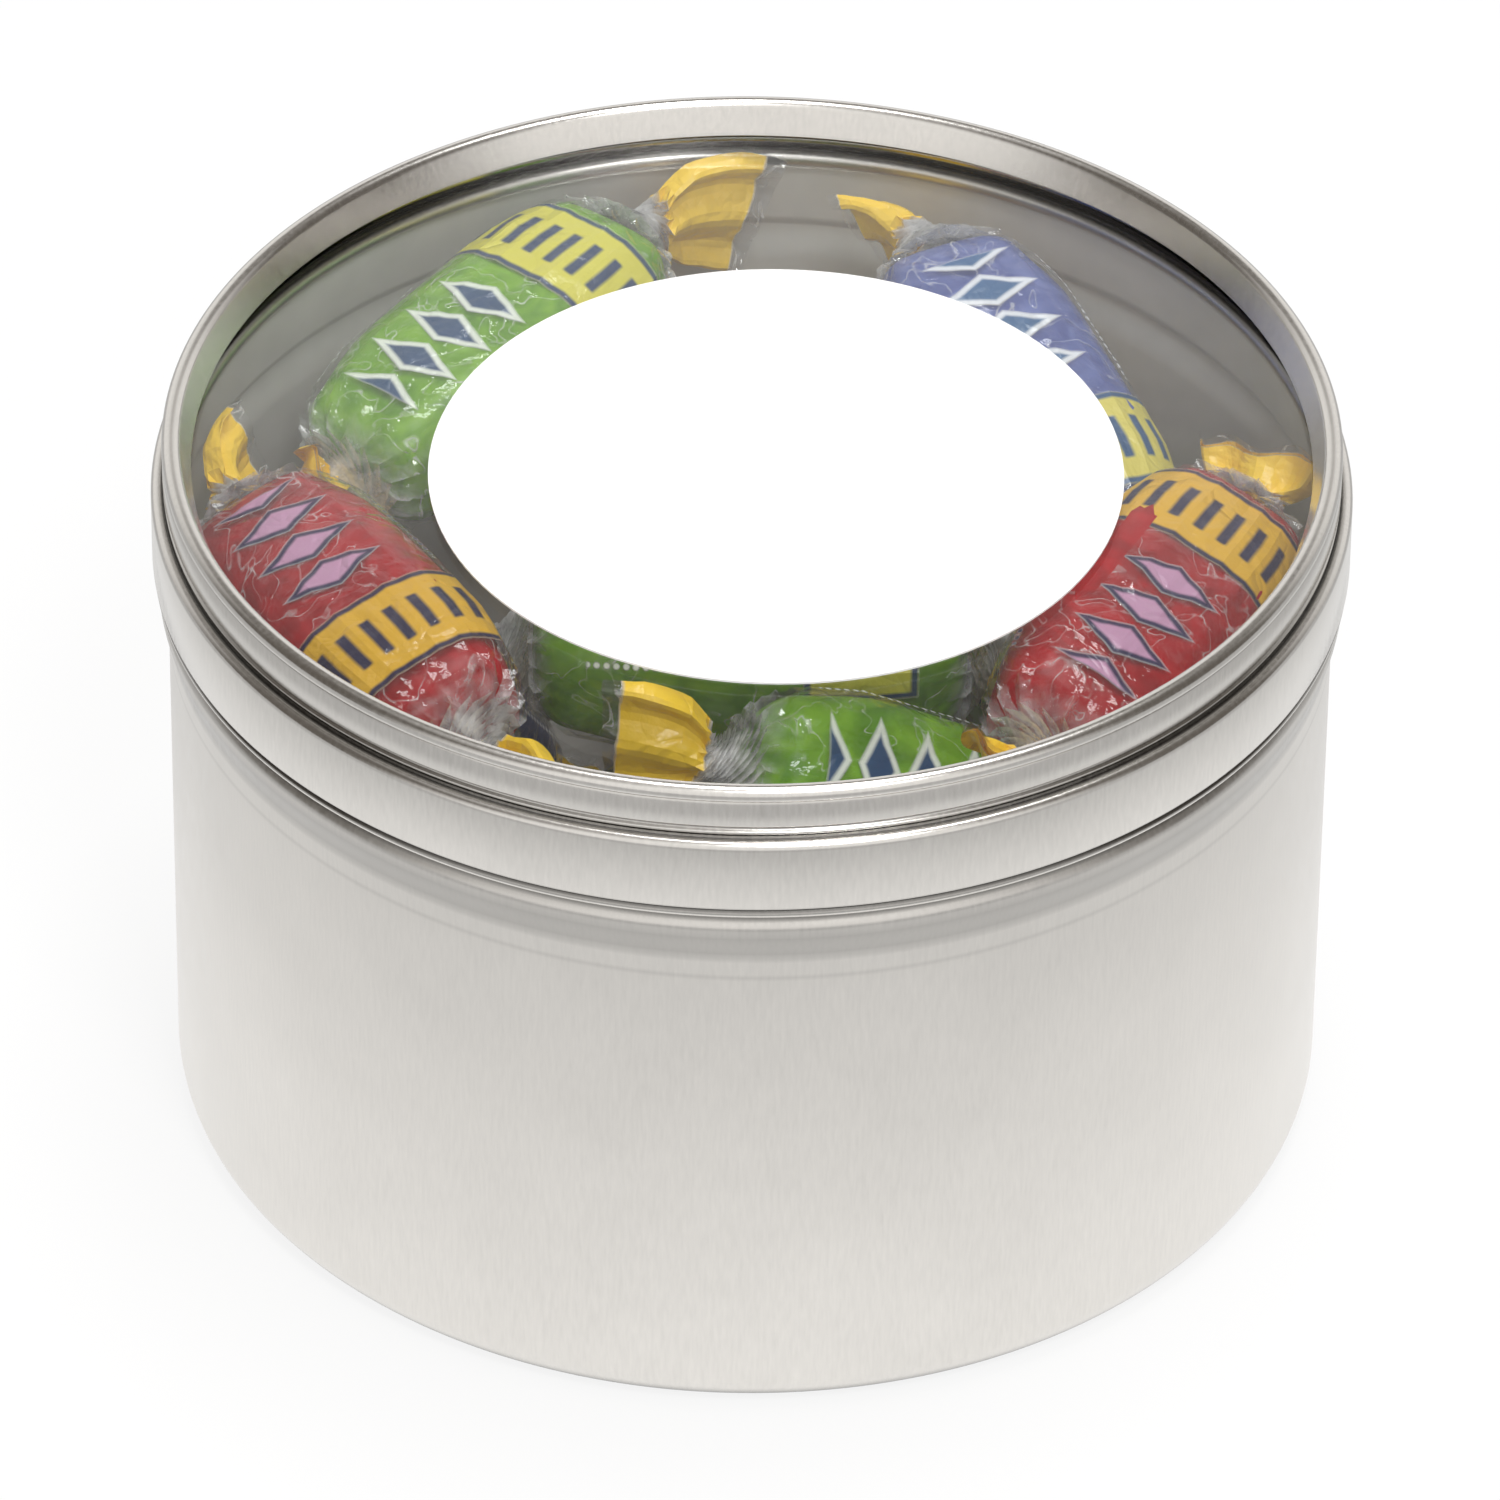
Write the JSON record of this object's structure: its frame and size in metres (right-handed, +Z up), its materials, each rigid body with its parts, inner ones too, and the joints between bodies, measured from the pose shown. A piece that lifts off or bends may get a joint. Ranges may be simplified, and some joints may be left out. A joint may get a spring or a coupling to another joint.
{
  "type": "round tin with window lid",
  "caption": "Round tinplate tin with a slip-on lid that has a clear window and a blank label, filled with wrapped sweets",
  "frame": {"origin": "centre of the base, on the plane that the foot ring rests on", "axes": "+Z up along the tin's axis and the way the lid lifts, -Y towards the viewer of the picture, +X to the right"},
  "size_m": [0.0676, 0.0676, 0.044],
  "materials": {
    "tinplate_body": "satin tinplate with a fine rolled grain",
    "tinplate_lid": "satin tinplate with a fine rolled grain, brighter on the roll and the shoulder",
    "clear_window": "clear flat PET sheet",
    "label_paper": "smooth matt white paper",
    "sweet_red": "clear hard candy, red",
    "sweet_green": "clear hard candy, green",
    "sweet_blue": "clear hard candy, blue",
    "wrapper_film": "thin clear film with printed bands and yellow ends"
  },
  "bodies": {
    "tin": {"tin_body": "tinplate_body", "sweet_1": "sweet_green", "sweet_2": "sweet_blue", "sweet_3": "sweet_red", "sweet_4": "sweet_green", "sweet_5": "sweet_red", "sweet_6": "sweet_green", "sweet_7": "sweet_green", "sweet_8": "sweet_red", "sweet_9": "sweet_blue", "sweet_10": "sweet_green", "sweet_11": "sweet_blue", "sweet_12": "sweet_red", "sweet_13": "sweet_red", "sweet_14": "sweet_green", "sweet_wrapper_1": "wrapper_film", "sweet_wrapper_2": "wrapper_film", "sweet_wrapper_3": "wrapper_film", "sweet_wrapper_4": "wrapper_film", "sweet_wrapper_5": "wrapper_film", "sweet_wrapper_6": "wrapper_film", "sweet_wrapper_7": "wrapper_film", "sweet_wrapper_8": "wrapper_film", "sweet_wrapper_9": "wrapper_film", "sweet_wrapper_10": "wrapper_film", "sweet_wrapper_11": "wrapper_film", "sweet_wrapper_12": "wrapper_film", "sweet_wrapper_13": "wrapper_film", "sweet_wrapper_14": "wrapper_film"},
    "lid": {"lid_ring": "tinplate_lid", "window": "clear_window", "label": "label_paper"}
  },
  "joints": [
    {"name": "lid_lift", "type": "slide", "parent": "tin", "child": "lid", "axis": [0, 0, 1], "range_m": [0, 0.05]}
  ]
}
